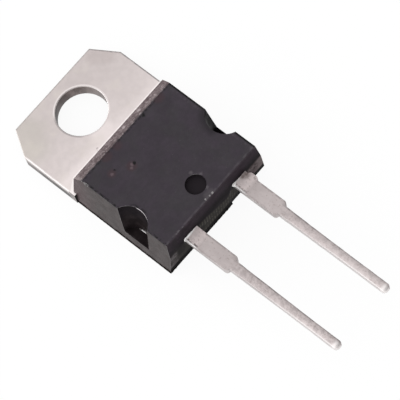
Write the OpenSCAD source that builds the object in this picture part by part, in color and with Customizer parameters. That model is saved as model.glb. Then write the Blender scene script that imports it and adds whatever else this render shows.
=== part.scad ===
// Power diode with two flat leads and a screw tab, lying on its back.
// Millimetres. The origin is the centre of the mounting hole on the back face.
// +Y points to the free end of the tab, the leads point to -Y and +Z leaves the front.

/* [Tab] */
// Width of the tab
tab_w = 10.25; // [10.1:0.05:10.6]
// Thickness of the tab and of the pad in the body
tab_t = 1.27; // [1.2:0.01:1.35]
// Distance from the hole's centre to the free end of the tab
tab_reach = 2.79; // [2.6:0.01:3]
// Distance from the hole's centre to the shoulders where the tab narrows to the pad
tab_shoulder = 3.93; // [3.7:0.01:4.1]
// Diameter of the mounting hole
hole_d = 3.82; // [3.5:0.01:3.95]
// Size of each cut corner, across the tab
corner_cut_w = 1.19; // [0.8:0.01:1.5]
// Size of each cut corner, along the tab
corner_cut_l = 1.98; // [1:0.01:2.2]

/* [Pad] */
// Width of the pad under the chip
pad_w = 8.3; // [7.9:0.05:8.5]
// Length of the pad from the tab's shoulders
pad_l = 6.15; // [5.9:0.01:6.3]
// Width of the locking groove that the moulding fills, across the pad
groove_w = 0.5; // [0.3:0.05:0.6]
// Depth of the locking groove
groove_depth = 0.2; // [0.1:0.05:0.3]
// Distance from the tab's shoulders to the middle of the locking groove
groove_in = 0.8; // [0.6:0.05:1]

/* [Body] */
// Width of the body at its back face
body_w_back = 10.06; // [9.9:0.02:10.08]
// Width of the body at its front face
body_w_front = 9.24; // [9.1:0.02:9.4]
// Height of the body from the back face
body_h = 4.5; // [4.4:0.01:4.7]
// Overlap of the body onto the tab, past the tab's shoulders
body_lap = 0.27; // [0.1:0.01:0.4]
// Length of the body from its edge on the tab to the parting line at the leads
body_l = 9.16; // [9:0.01:9.4]
// Lean of the face at the tab, from the tab's top to the bevel
tab_face_lean = 0.4; // [0.1:0.01:0.5]
// Length of the bevel at the tab's side, along the front face
bevel_l = 0.84; // [0.6:0.01:1.1]
// Height of the bevel at the tab's side
bevel_h = 0.72; // [0.5:0.01:1]
// Lean of the lead end from the parting line to the front face
lead_face_lean_front = 0.12; // [0.05:0.01:0.25]
// Lean of the lead end from the parting line to the back face
lead_face_lean_back = 0.24; // [0.05:0.01:0.35]

/* [Side notches] */
// Radius of a notch at the front face
notch_r_front = 1.5; // [1.4:0.01:1.6]
// Radius of a notch at its floor
notch_r_floor = 1.18; // [1.12:0.01:1.3]
// Width of the pad's edge that shows in a notch, where the mould held the pad down
notch_lap = 0.1; // [0.06:0.01:0.12]
// Distance from the pad's end to a notch's axis
notch_in = 0.51; // [0.48:0.01:0.7]

/* [Ejector mark] */
// Diameter of the round mark on the front face
mark_d = 1.5; // [1:0.05:1.8]
// Depth of the mark
mark_depth = 0.3; // [0.1:0.05:0.4]
// Distance from the front face's edge at the leads to the mark's centre
mark_in = 1.38; // [1.2:0.01:1.6]

/* [Leads] */
// Distance between the middles of the two leads
lead_pitch = 5.08; // [4.95:0.01:5.15]
// Thickness of a lead
lead_t = 0.6; // [0.5:0.01:0.7]
// Height of a lead's underside above the back face
lead_rise = 2.41; // [2.3:0.01:2.5]
// Width of a lead near the body
lead_w_wide = 1.27; // [1.15:0.01:1.5]
// Width of a lead's narrow part
lead_w_narrow = 0.74; // [0.61:0.01:0.88]
// Length of a lead outside the body
lead_l = 13.21; // [13:0.01:14]
// Length of a lead's wide part outside the body
lead_wide_l = 3.54; // [3:0.01:4]
// Radius of the corners at a lead's tip
tip_r = 0.3; // [0.1:0.01:0.33]
// Length of the stub that the cut tie bar left on the anode lead
stub_l = 0.9; // [0.7:0.05:1.1]
// Height of the stub beside the lead
stub_out = 0.19; // [0.1:0.01:0.3]
// Distance from the body to the stub
stub_gap = 0.2; // [0.1:0.05:0.5]

/* [Inside the body] */
// Width of the link between the pad and the cathode lead
link_w = 2.2; // [1.8:0.05:2.6]
// Slope of the link in degrees
link_slope = 50; // [45:1:60]
// Flat length of the link beyond the pad, along its underside
link_flat = 0.2; // [0.1:0.05:0.4]
// Width of the bonding post at the anode lead's inner end
post_w = 3; // [2.6:0.05:3.4]
// Length of the bonding post
post_l = 1.3; // [1.1:0.05:1.4]
// Distance from the post's outer edge to the lead end of the body
post_in = 0.5; // [0.4:0.05:0.6]
// Width of the chip
die_w = 3; // [2.4:0.05:3.4]
// Length of the chip
die_l = 2.6; // [2.2:0.05:2.8]
// Thickness of the chip
die_t = 0.3; // [0.2:0.01:0.4]
// Distance from the tab's shoulders to the middle of the chip
die_in = 4.2; // [4:0.05:4.3]
// Thickness of the solder under the chip
solder_t = 0.05; // [0.03:0.01:0.1]
// Edge of the solder seen round the chip
solder_edge = 0.15; // [0.05:0.05:0.25]

/* [Bond wires] */
// Diameter of a bond wire
wire_d = 0.38; // [0.3:0.01:0.4]
// Angle in degrees at which a wire leaves the chip
wire_rise = 60; // [55:1:65]
// Distance between the wires on the chip
wire_gap_die = 1.2; // [0.9:0.05:1.4]
// Distance between the wires on the post
wire_gap_post = 1; // [0.9:0.05:1.2]
// Length of the flattened foot at each end of a wire
foot_l = 0.6; // [0.5:0.05:0.7]
// Width of a foot
foot_w = 0.5; // [0.42:0.02:0.6]
// Thickness of a foot
foot_t = 0.2; // [0.15:0.01:0.25]
// Distance from a foot on the chip to the chip's edge
foot_edge = 0.3; // [0.2:0.05:0.5]

/* [Hidden] */
$fn = 96;

// Sides of the part: the cathode lead is on the left and the anode lead on the right
LEFT = -1;
RIGHT = 1;

// How far a cutting shape runs past the face that it cuts
past = 1;

// Places along Y
pad_end_y = -tab_shoulder - pad_l;
body_foot_y = body_lap - tab_shoulder;
parting_y = body_foot_y - body_l;
front_edge_y = parting_y + lead_face_lean_front;
notch_y = pad_end_y + notch_in;
mark_y = front_edge_y + mark_in;
die_y = -tab_shoulder - die_in;
post_outer_y = parting_y + post_in;
post_inner_y = post_outer_y + post_l;
shoulder_y = parting_y - lead_wide_l;
tip_y = parting_y - lead_l;
link_foot_y = pad_end_y - link_flat;
link_head_y = link_foot_y - (lead_rise + lead_t - tab_t) / tan(link_slope);

// Places along X
notch_x = pad_w / 2 - notch_lap + notch_r_floor;
lead_x = lead_pitch / 2;

// Heights
lead_top = lead_rise + lead_t;
parting_z = lead_rise + lead_t / 2;
solder_top = tab_t + solder_t;
die_top = solder_top + die_t;

// Growth of a notch's radius with height
notch_taper = (notch_r_front - notch_r_floor) / (body_h - tab_t);

// Distance that a corner moves along the link's outside when its sheet is bent
link_miter = lead_t * tan(link_slope / 2);

// Radius that rounds a lead's shoulder down to its narrow width
shoulder_r = (lead_w_wide - lead_w_narrow) / 2;

// Middles of the feet along Y
wire_die_y = die_y - die_l / 2 + foot_edge + foot_l / 2;
wire_post_y = (post_inner_y + post_outer_y) / 2;

// Rectangle from one corner to the opposite one
module box_2d(from, to) {
    translate(from)
        square(to - from);
}

// Tab seen from the front, without its hole
module tab_plan() {
    side = tab_w / 2;
    polygon([
        [-side, -tab_shoulder],
        [side, -tab_shoulder],
        [side, tab_reach - corner_cut_l],
        [side - corner_cut_w, tab_reach],
        [corner_cut_w - side, tab_reach],
        [-side, tab_reach - corner_cut_l]
    ]);
}

// Lead seen from the front, about its own middle line, from inner_y to the tip
module lead_plan(inner_y) {
    wide = lead_w_wide / 2;
    narrow = lead_w_narrow / 2;
    tip_corner = narrow - tip_r;
    box_2d([-wide, shoulder_y], [wide, inner_y]);
    box_2d([-narrow, tip_y + tip_r], [narrow, shoulder_y]);
    box_2d([-tip_corner, tip_y], [tip_corner, tip_y + tip_r]);
    for (side = [LEFT, RIGHT]) {
        translate([side * narrow, shoulder_y])
            circle(r = shoulder_r);
        translate([side * tip_corner, tip_y + tip_r])
            circle(r = tip_r);
    }
}

// Stub of the cut tie bar on the outer edge of a lead
module tie_bar_stub() {
    edge = lead_w_wide / 2;
    start_y = parting_y - stub_gap;
    end_y = start_y - stub_l;
    polygon([
        [0, end_y],
        [edge, end_y],
        [edge + stub_out, end_y + stub_out],
        [edge + stub_out, start_y - stub_out],
        [edge, start_y],
        [0, start_y]
    ]);
}

// Side view of the bent link, from the pad up to the lead
module link_side() {
    polygon([
        [pad_end_y, tab_t],
        [link_foot_y + link_miter, tab_t],
        [link_head_y + link_miter, lead_top],
        [post_outer_y, lead_top],
        [post_outer_y, lead_rise],
        [link_head_y, lead_rise],
        [link_foot_y, tab_t - lead_t],
        [pad_end_y, tab_t - lead_t]
    ]);
}

// Sheet of lead thickness at the leads' height
module lead_sheet() {
    translate([0, 0, lead_rise])
        linear_extrude(lead_t)
            children();
}

// Extrusion of a side view, given as Y and Z, across the middle plane
module across(width) {
    rotate([90, 0, 90])
        linear_extrude(width, center = true)
            children();
}

// Tab, pad, link and cathode lead in one piece of stamped copper
module cathode_leadframe() {
    color([0.82, 0.78, 0.78]) {
        difference() {
            linear_extrude(tab_t) {
                tab_plan();
                box_2d([-pad_w / 2, pad_end_y], [pad_w / 2, -tab_shoulder]);
            }
            translate([0, 0, -past])
                cylinder(d = hole_d, h = tab_t + 2 * past);
            across(pad_w + 2 * past)
                groove_side();
        }
        translate([LEFT * lead_x, 0, 0])
            across(link_w)
                link_side();
        translate([LEFT * lead_x, 0, 0])
            lead_sheet()
                lead_plan(post_outer_y);
    }
}

// Side view of the locking groove, open at the pad's top
module groove_side() {
    groove_y = -tab_shoulder - groove_in;
    polygon([
        [groove_y - groove_w / 2, tab_t],
        [groove_y, tab_t - groove_depth],
        [groove_y + groove_w / 2, tab_t]
    ]);
}

// Anode lead with its bonding post
module anode_lead() {
    color([0.74, 0.7, 0.7])
        translate([RIGHT * lead_x, 0, 0])
            lead_sheet() {
                lead_plan(post_inner_y);
                tie_bar_stub();
                box_2d([-post_w / 2, post_outer_y], [post_w / 2, post_inner_y]);
            }
}

// Flat block centred on the chip's place
module on_pad(width, length, z, height) {
    translate([-width / 2, die_y - length / 2, z])
        cube([width, length, height]);
}

// Silicon chip
module schottky_die() {
    color([0.35, 0.35, 0.4])
        on_pad(die_w, die_l, solder_top, die_t);
}

// Solder layer between the chip and the pad
module die_attach_solder() {
    color([0.6, 0.6, 0.62])
        on_pad(die_w + 2 * solder_edge, die_l + 2 * solder_edge, tab_t, solder_t);
}

// Bond wire with its flattened feet, from the chip's top to the post's top
module bond_wire(side) {
    start = [side * wire_gap_die / 2, wire_die_y];
    end = [RIGHT * lead_x + side * wire_gap_post / 2, wire_post_y];
    reach = norm(end - start);
    climb = lead_top - die_top;
    heading = atan2(end[1] - start[1], end[0] - start[0]);
    radius = (reach ^ 2 + climb ^ 2) / (2 * (reach * sin(wire_rise) - climb * cos(wire_rise)));
    fall = asin((reach - radius * sin(wire_rise)) / radius);
    color([0.85, 0.85, 0.86])
        translate([start[0], start[1], die_top])
            rotate([0, 0, heading]) {
                translate([radius * sin(wire_rise), 0, wire_d / 2 - radius * cos(wire_rise)])
                    rotate([90, 0, 0])
                        rotate([0, 0, 90 - fall])
                            rotate_extrude(angle = fall + wire_rise)
                                translate([radius, 0])
                                    circle(d = wire_d);
                for (place = [[0, 0], [reach, climb]])
                    translate([place[0] - foot_l / 2, -foot_w / 2, place[1]])
                        cube([foot_l, foot_w, foot_t]);
            }
}

// Side view of the body: bevelled at the tab, leaning both ways from the parting line at the leads
module body_side() {
    bevel_y = body_foot_y - tab_face_lean;
    polygon([
        [body_foot_y, tab_t],
        [bevel_y, body_h - bevel_h],
        [bevel_y - bevel_l, body_h],
        [front_edge_y, body_h],
        [parting_y, parting_z],
        [parting_y + lead_face_lean_back, 0],
        [-tab_shoulder, 0],
        [-tab_shoulder, tab_t]
    ]);
}

// End view of the body, narrowing to the front so that it leaves its mould
module body_end() {
    polygon([
        [-body_w_back / 2, 0],
        [body_w_back / 2, 0],
        [body_w_front / 2, body_h],
        [-body_w_front / 2, body_h]
    ]);
}

// Moulding as it fills its mould, before the inserts are taken out of it
module body_mould() {
    difference() {
        intersection() {
            across(body_w_back + 2 * past)
                body_side();
            rotate([90, 0, 0])
                linear_extrude(past - parting_y)
                    body_end();
        }
        for (side = [LEFT, RIGHT])
            translate([side * notch_x, notch_y, tab_t])
                cylinder(r1 = notch_r_floor, r2 = notch_r_front + past * notch_taper,
                         h = body_h - tab_t + past);
        translate([0, mark_y, body_h - mark_depth])
            cylinder(d = mark_d, h = mark_depth + past);
    }
}

// Black moulding round the leadframe, the chip and the wires
module epoxy_body() {
    color([0.2, 0.19, 0.2])
        difference() {
            body_mould();
            cathode_leadframe();
            anode_lead();
            die_attach_solder();
            schottky_die();
            bond_wire(LEFT);
            bond_wire(RIGHT);
        }
}

cathode_leadframe();
anode_lead();
schottky_die();
die_attach_solder();
bond_wire(LEFT);  // bond_wire_left
bond_wire(RIGHT);  // bond_wire_right
epoxy_body();
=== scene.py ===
"""Looks, light and camera of the two-lead power diode."""
import math

import bmesh
import bpy
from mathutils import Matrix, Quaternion, Vector, noise
from mathutils.bvhtree import BVHTree


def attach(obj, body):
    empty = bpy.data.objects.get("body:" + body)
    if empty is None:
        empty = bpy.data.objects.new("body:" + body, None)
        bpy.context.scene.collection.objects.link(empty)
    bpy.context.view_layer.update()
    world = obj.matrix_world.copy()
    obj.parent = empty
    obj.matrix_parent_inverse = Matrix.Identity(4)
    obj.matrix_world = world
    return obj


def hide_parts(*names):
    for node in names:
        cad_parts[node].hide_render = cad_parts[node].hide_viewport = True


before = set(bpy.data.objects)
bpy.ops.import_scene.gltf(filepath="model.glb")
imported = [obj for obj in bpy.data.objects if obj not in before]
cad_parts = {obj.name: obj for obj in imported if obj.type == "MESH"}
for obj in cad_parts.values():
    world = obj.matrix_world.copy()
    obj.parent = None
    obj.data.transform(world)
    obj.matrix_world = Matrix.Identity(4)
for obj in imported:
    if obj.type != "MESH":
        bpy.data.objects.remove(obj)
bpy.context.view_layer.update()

MM = 0.001

# Camera as fitted to the photograph: where it looks, from which side, and its lens
CAMERA_TARGET = Vector((-0.183, -11.458, 2.25)) * MM
CAMERA_DISTANCE = 191.55 * MM
CAMERA_AZIMUTH = math.radians(30.444)
CAMERA_ELEVATION = math.radians(66.356)
CAMERA_ROLL = math.radians(-20.204)
CAMERA_LENS = 252
CAMERA_CLIP = (0.01, 10)

# Rounding of the edges
TAB_ROUND = 0.08 * MM
BODY_ROUND = 0.06 * MM
MARK_ROUND = 0.02 * MM
SHARP_ANGLE = math.radians(28)
ROUND_STEPS = 4

# Shading breaks at edges sharper than this
CREASE_ANGLE = math.radians(35)

# Vertices this close, in metres, are merged, and so are faces that turn by less than the angle
SEAM_GAP = 1e-7
FLAT_ANGLE = math.radians(0.5)

# A face of a node this close to another node is covered by it
TOUCHING = 0.002 * MM

# An edge shorter than this has no length: rounding leaves one where two cavities meet
NO_LENGTH = 1e-6 * MM

# Places on the part, in millimetres
HOLE_R = 1.91
TAB_TOP = 1.27
TAB_SIDE_X = 5.125
TAB_END_Y = 2.79
CUT_NORMAL = (0.857, 0.515)
CUT_REACH = 4.809
TAB_SHOULDER_Y = -3.93
PAD_EDGE_X = 4.15
LEAD_X = 2.54
LEAD_TOP = 3.01
LEAD_MID_Z = 2.71
LEAD_HALF_W = 0.37
LEAD_HALF_T = 0.3
LEAD_ROOT_Y = -12.82
LEAD_TIP_Y = -26.03
BODY_TOP = 4.5
BEVEL_FOOT_Z = 3.78
FRONT_TAB_EDGE_Y = -4.9
FRONT_LEAD_EDGE_Y = -12.7
FRONT_SIDE_X = 4.62
BACK_SIDE_X = 5.03
PARTING_Z = 2.71
NOTCH_X = 5.23
NOTCH_Y = -9.57
NOTCH_R = 1.5
MARK_Y = -11.32
MARK_R = 0.75

# Slack of tests of places, in millimetres
SLACK = 0.01
NOTCH_SLACK = 0.05

# A face belongs to the tab end, the lead end or a long side when its normal is past these
TAB_END_NORMAL_Y = 0.3
LEAD_END_NORMAL_Y = -0.9
LONG_SIDE_NORMAL_X = 0.75

# Solder-dipped part of the leads, in millimetres: its edges round off towards the tip
DIP_START_Y = -17.2
DIP_FULL_Y = -24.0
DIP_CORNER = 0.23
DIP_WAVE = 0.02
DIP_WAVE_PITCH = 1.9
DIP_WAVE_GROWS = 2
DIP_STEPS = 40

# Rounded tips: length, turn, loss of half width and half thickness, and share of the corners
TIP_CAP = 0.3
TIP_TURN = math.radians(84)
TIP_NARROWER = 0.3
TIP_THINNER = 0.22
TIP_CORNER_SHARE = 0.98
TIP_STEPS = 8
LEFT_TIP_Y = LEAD_TIP_Y + 0.03
RIGHT_TIP_Y = LEAD_TIP_Y + 0.06

# Spacing of the tool marks on the lead end, in millimetres
RIB_PITCH = 0.24

# Width of the band in which a painted spot's outline strays, in millimetres
SPOT_RAG = 0.16

# Spacing of the points along the flash and the ridges, in millimetres
TRIM_STEP = 0.06

# Thin flash along the lower edges of the moulding, in millimetres: its size, its least share of
# that size, its foot and lip, how far it leans back, and the frequencies of its ragged outline
FLASH_PATH = [(-5.03, -3.9), (-5.03, -12.56), (1.5, -12.58)]
FLASH_HIGH = 0.32
FLASH_OUT = 0.04
FLASH_OUT_END = 0.08
FLASH_IN = 0.06
FLASH_LEAST = 0.35
FLASH_FOOT = 0.001
FLASH_LIP = 0.05
FLASH_LEAN = 0.4
FLASH_HIGH_FREQUENCY = 2.3
FLASH_OUT_FREQUENCY = 9.1

# Lower edge of the lead end, set back where its flash broke off, in millimetres
CHIPPED_FROM_X = 1.5
CHIPPED_IN = 0.085
CHIPPED_STEP = 0.04
CHIPPED_HIGH = 0.12
CHIPPED_Y = -12.4
CHIPPED_FACES_Y = -12.3

# Ridge of plating where the leads leave the moulding: each lead's middle and where it ends
RIDGES = ((-LEAD_X, -LEAD_X + 0.5), (LEAD_X, LEAD_X - 0.3))
RIDGE_SIDE = 0.635
RIDGE_LOW_Z = 2.62
RIDGE_CORNER = 0.08
RIDGE_FORWARD = 0.18
RIDGE_HIGH = 0.11
RIDGE_IN = 0.04
RIDGE_WALL_Y = -12.8

# Points up a ridge's side and round its corner, and how its size changes along them
RIDGE_SIDE_STEPS = 8
RIDGE_TURN_STEPS = 4
RIDGE_START_STEPS = 5
RIDGE_MEAN = 0.9
RIDGE_SPREAD = 0.5
RIDGE_FREQUENCY = 4.3
RIDGE_BEND = (0.5, 0.4)


# Small helpers for shader nodes

class Shader:
    """Node tree of one new material, with short calls that add and link nodes."""

    def __init__(self, name):
        """New material with its output, and the object's coordinates in millimetres."""
        self.material = bpy.data.materials.new(name)
        self.material.use_nodes = True
        self.nodes = self.material.node_tree.nodes
        self.links = self.material.node_tree.links
        self.nodes.clear()
        self.output = self.nodes.new("ShaderNodeOutputMaterial")
        coordinates = self.add("TexCoord")
        self.place = coordinates["Object"]
        self.x, self.y, self.z = self.axes(self.place, 1 / MM)
        self.nx, self.ny, self.nz = self.axes(coordinates["Normal"], 1)

    def put(self, socket, value):
        """Links a socket to an input, or sets it to a plain value."""
        if isinstance(value, bpy.types.NodeSocket):
            self.links.new(value, socket)
        else:
            socket.default_value = value

    def add(self, kind, inputs=None, **settings):
        """Outputs of a new node, after its settings are made and its inputs linked or set."""
        node = self.nodes.new("ShaderNode" + kind)
        for name, value in settings.items():
            setattr(node, name, value)
        for key, value in (inputs or {}).items():
            self.put(node.inputs[key], value)
        return node.outputs

    def axes(self, vector, factor):
        """X, Y and Z of a vector, each times a factor."""
        scaled = self.add("VectorMath", {0: vector, "Scale": factor}, operation="SCALE")
        return self.add("SeparateXYZ", {0: scaled[0]})

    def math(self, operation, a, b=0.0):
        """Result of one math node."""
        return self.add("Math", {0: a, 1: b}, operation=operation)[0]

    def times(self, *factors):
        """Product of several values."""
        product = factors[0]
        for factor in factors[1:]:
            product = self.math("MULTIPLY", product, factor)
        return product

    def plus(self, *terms):
        """Sum of several values."""
        total = terms[0]
        for term in terms[1:]:
            total = self.math("ADD", total, term)
        return total

    def noise(self, size, seed, detail=3.0, stretch=(1, 1, 1), rough=0.5):
        """Noise of about the given feature size in millimetres, longer along an axis by its stretch."""
        mapped = self.add("Mapping", {
            "Location": (seed, seed * 0.7, seed * 0.3),
            "Scale": [1 / (size * MM * s) for s in stretch],
            "Vector": self.place,
        })
        return self.add("TexNoise", {
            "Scale": 1.0, "Detail": detail, "Roughness": rough, "Vector": mapped[0],
        })["Fac"]

    def ramp(self, value, low, high, to_low=0.0, to_high=1.0):
        """Maps low..high onto to_low..to_high, smoothly and without passing the ends."""
        if low > high:
            low, high, to_low, to_high = high, low, to_high, to_low
        return self.add("MapRange", {
            "Value": value, "From Min": low, "From Max": high, "To Min": to_low, "To Max": to_high,
        }, interpolation_type="SMOOTHSTEP")[0]

    def band(self, value, centre, half, soft):
        """One within half of the centre, and nothing further out, with a soft edge."""
        off = self.math("ABSOLUTE", self.math("SUBTRACT", value, centre))
        return self.ramp(off, half + soft, half)

    def reach(self, centre):
        """Distance from an upright axis through the centre, in millimetres."""
        dx = self.math("SUBTRACT", self.x, centre[0])
        dy = self.math("SUBTRACT", self.y, centre[1])
        return self.math("SQRT", self.plus(self.times(dx, dx), self.times(dy, dy)))

    def ring(self, centre, radius, half, soft):
        """Ring round an upright axis through the centre."""
        return self.band(self.reach(centre), radius, half, soft)

    def spots(self, places, soft):
        """Ragged spots round upright axes, each given as X, Y and radius."""
        ragged = self.times(self.noise(0.12, 8.8, 2.0), SPOT_RAG)
        total = 0.0
        for x, y, radius in places:
            off = self.plus(self.reach((x, y)), ragged, -SPOT_RAG / 2)
            total = self.math("MAXIMUM", total, self.ramp(off, radius + soft, radius))
        return total

    def mix(self, amount, a, b):
        """Mixes two colours."""
        a, b = (c if isinstance(c, bpy.types.NodeSocket) else (*c, 1) for c in (a, b))
        return self.add("Mix", {"Factor": amount, "A": a, "B": b}, data_type="RGBA")["Result"]

    def over(self, colour, coat, *amounts):
        """Colour under a coat of another, as dense as the product of the amounts."""
        return self.mix(self.times(*amounts), colour, coat)

    def coats(self, colour, layers):
        """Colour under several coats, each with its amounts, from the lowest up."""
        for coat, *amounts in layers:
            colour = self.over(colour, coat, *amounts)
        return colour

    def bump(self, height, distance, normal=None):
        """Bump from a height of 0 to 1 that stands for the distance in millimetres."""
        inputs = {"Strength": 1.0, "Distance": distance * MM, "Height": height}
        if normal is not None:
            inputs["Normal"] = normal
        return self.add("Bump", inputs)[0]

    def principled(self, **inputs):
        """Closes the material with a Principled shader."""
        shader = self.add("BsdfPrincipled", {key.replace("_", " "): inputs[key] for key in inputs})
        self.put(self.output.inputs["Surface"], shader[0])
        return self.material


def shade(colour, factor):
    """Colour made darker or lighter."""
    return tuple(part * factor for part in colour)


# Metal

TIN_ROUGH = 0.42
LEAD_DARK = (0.34, 0.3, 0.3)
LEAD_LIGHT = (0.76, 0.69, 0.68)


def tin_surface(s, colour, matte=None, lumps=None):
    """Closes a tin-plate material: fine grain and faint rolling lines, dull where matte is 1."""
    grain = s.noise(0.12, 7.7, 2.0)
    lines = s.noise(0.07, 1.9, 2.0, (1, 14, 1))
    blotch = s.noise(1.1, 4.4)
    normal = s.bump(s.plus(s.times(grain, 0.6), s.times(lines, 0.4)), 0.0025)
    roughness = s.ramp(blotch, 0.3, 0.7, TIN_ROUGH - 0.04, TIN_ROUGH + 0.05)
    metallic = 1.0
    if matte is not None:
        roughness = s.plus(roughness, s.times(matte, 0.3))
        metallic = s.ramp(matte, 0, 1, 1, 0.3)
    if lumps is not None:
        normal = s.bump(lumps, 0.024, normal)
    return s.principled(Base_Color=colour, Metallic=metallic, Roughness=roughness, Normal=normal)


def cut_edges(s, colour, edge):
    """Adds the streaked look of stamped edges to the colour of the sheet's faces."""
    streaks = s.ramp(s.noise(0.1, 2.6, 2.0, (1, 1, 12)), 0.3, 0.7)
    cut = s.over(edge, (0.1, 0.09, 0.09), streaks, 0.3)
    upright = s.ramp(s.math("ABSOLUTE", s.nz), 0.6, 0.25)
    return s.over(colour, cut, upright)


def upper_half(s):
    """One on the upper half of the tab's thickness: keeps marks of the face off the back."""
    return s.ramp(s.z, 0.6, 0.9)


def tab_face(s):
    """Colour of the tab's flat faces, lighter towards the body and mottled, with a painted sheen next
    to the body.
    """
    base = (0.62, 0.558, 0.548)
    light = (0.76, 0.685, 0.675)
    blotch = s.ramp(s.noise(2.2, 3.1, 4.0, (1, 1.4, 1)), 0.3, 0.7)
    mottle = s.ramp(s.noise(0.45, 6.7), 0.3, 0.7)
    warm = s.ramp(s.noise(1.6, 12.3), 0.5, 0.7)
    toward = s.ramp(s.y, 1.6, -3.2)
    tarnish = s.times(s.spots(((-4.3, 1.1, 0.5), (-3.6, 1.9, 0.4)), 1.6), 0.5)
    # Painted sheen: a lighter band and spot on the face beside the body
    wear_and_sheen = s.times(s.ramp(s.y, -2.1, -2.9), s.ramp(s.x, 1.4, 0.4, 0.5, 1))
    wear_and_sheen = s.math("MAXIMUM", wear_and_sheen, s.spots(((-0.3, -2.4, 0.5),), 0.9))
    dull = s.spots(((3.2, -1.1, 0.6),), 1.5)
    stain = s.times(s.spots(((3.65, 2.05, 0.3), (4.25, 1.45, 0.3)), 0.6), 0.4)
    return s.coats(base, [
        (light, toward, s.ramp(blotch, 0, 1, 0.6, 1.0)),
        (shade(base, 0.8), blotch, 0.2),
        (shade(base, 0.55), mottle, 0.12),
        ((0.53, 0.5, 0.45), tarnish),
        ((0.87, 0.79, 0.78), wear_and_sheen, upper_half(s), 0.55),
        (shade(base, 0.97), dull, 0.35),
        ((0.47, 0.41, 0.4), stain),
        ((0.68, 0.625, 0.57), warm, 0.3),
    ])


def edge_highlights_and_shade(s, colour):
    """Adds painted highlights on the hole's rim, the left edge and a strip beside the body, and painted
    shade on the rim's left part and along the far edges.
    """
    on_top = s.ramp(s.nz, 0.5, 0.8)
    # Painted highlight round the hole's rounded rim, and painted shade on its left part
    rim = s.ring((0, 0), HOLE_R + 0.06, 0.04, 0.06)
    away = s.ramp(s.plus(s.x, s.y), 0.2, -1.2)
    low = s.ramp(s.math("SUBTRACT", s.x, s.y), 0.4, -0.5, 0.2, 1)
    # Painted shade along the far edges: the right side, the cut corner and the end
    right = s.ramp(s.x, TAB_SIDE_X - 0.13, TAB_SIDE_X - 0.06)
    cut = s.plus(s.times(s.x, CUT_NORMAL[0]), s.times(s.y, CUT_NORMAL[1]))
    cut = s.times(s.ramp(cut, CUT_REACH - 0.15, CUT_REACH - 0.07), 0.85)
    jagged = s.ramp(s.noise(0.25, 5.6), 0.3, 0.6, 0.45, 1)
    end = s.times(s.ramp(s.y, TAB_END_Y - 0.13, TAB_END_Y - 0.06), jagged, 0.45)
    line = s.times(s.math("MAXIMUM", s.math("MAXIMUM", right, cut), end), on_top, jagged)
    # Painted highlight along the left edge, broken up by a patchy mask
    left = s.times(s.ramp(s.x, -TAB_SIDE_X + 0.14, -TAB_SIDE_X + 0.07), on_top)
    patchy = s.ramp(s.noise(0.5, 7.4), 0.3, 0.6, 0.5, 1)
    # Painted highlight: a bright strip on the plate beside the body
    askew = s.times(s.math("MINIMUM", s.plus(s.x, 4.15), 0), -0.6)
    highlight_by_body = s.times(s.ramp(s.plus(s.y, askew), -2.86, -2.98), on_top)
    return s.coats(colour, [
        ((0.76, 0.7, 0.69), rim, s.ramp(away, 0, 1, 1, 0)),
        ((0.33, 0.3, 0.3), rim, away, low, 0.7),
        ((0.26, 0.235, 0.235), line),
        ((0.94, 0.89, 0.88), left, patchy, s.ramp(s.y, 1.2, 0.4)),
        ((0.97, 0.91, 0.9), highlight_by_body, s.ramp(patchy, 0.5, 1, 0.65, 0.95)),
    ])


def scratched_tab(s, colour):
    """Adds three small scratches to the tab's face, near the body."""
    scratches = s.spots(((-1.46, -2.8, 0.03), (-1.56, -2.98, 0.04), (-1.64, -3.12, 0.03)), 0.08)
    return s.over(colour, (0.3, 0.26, 0.26), scratches, upper_half(s), 0.5)


def sheared_edges(s, colour):
    """Adds the tab's stamped edges, darker towards the body, with painted shade on the far and lower
    roundings and at the shoulders, and a painted highlight on the left rounding.
    """
    sheared = s.mix(s.ramp(s.y, 0.2, -0.9), (0.25, 0.22, 0.215), (0.12, 0.106, 0.104))
    sheared = s.over(sheared, (0.06, 0.053, 0.052), s.ramp(s.y, -1.3, -2.4))
    sheared = s.over(sheared, (0.71, 0.655, 0.64), s.ramp(s.z, 0.68, 0.98))
    colour = cut_edges(s, colour, sheared)
    # Painted shade on the far and lower roundings and at the shoulders, and a painted highlight on the
    # left rounding
    rounded = s.times(s.ramp(s.nz, 0.08, 0.25), s.ramp(s.nz, 0.97, 0.9))
    far_side = s.ramp(s.plus(s.nx, s.ny), 0.25, 0.5)
    under = s.times(s.ramp(s.nz, -0.1, -0.35), s.ramp(s.nx, -0.15, -0.4))
    lip = s.times(rounded, s.ramp(s.nx, -0.2, -0.5), s.ramp(s.y, 0.8, 0))
    shoulder = s.times(s.ramp(s.y, -3.3, -3.5), s.ramp(s.nx, -0.15, -0.4))
    return s.coats(colour, [
        ((0.13, 0.12, 0.12), rounded, far_side),
        ((0.13, 0.12, 0.118), under),
        ((0.97, 0.93, 0.92), lip),
        ((0.28, 0.25, 0.245), shoulder),
    ])


def hole_wall(s, colour):
    """Adds the streaked wall of the mounting hole, with painted shade on its left part and painted
    light on its right part.
    """
    streaks = s.ramp(s.noise(0.35, 2.9, stretch=(1, 1, 3)), 0.3, 0.7)
    wall = s.mix(streaks, (0.095, 0.072, 0.068), (0.215, 0.17, 0.162))
    # Painted shade on the wall's left part and painted light on its right part
    wall = s.over(wall, (0.066, 0.05, 0.048), s.ramp(s.x, 0.9, -0.3, 0, 0.8))
    wall = s.over(wall, (0.016, 0.009, 0.008), s.ramp(s.x, -0.6, -1.6, 0, 0.9))
    wall = s.over(wall, (0.3, 0.25, 0.24), s.ramp(s.x, 1.2, 1.8, 0, 0.5))
    in_hole = s.times(s.ring((0, 0), HOLE_R, 0.03, 0.04), s.ramp(s.z, 1.22, 1.1))
    return s.over(colour, wall, in_hole)


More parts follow.
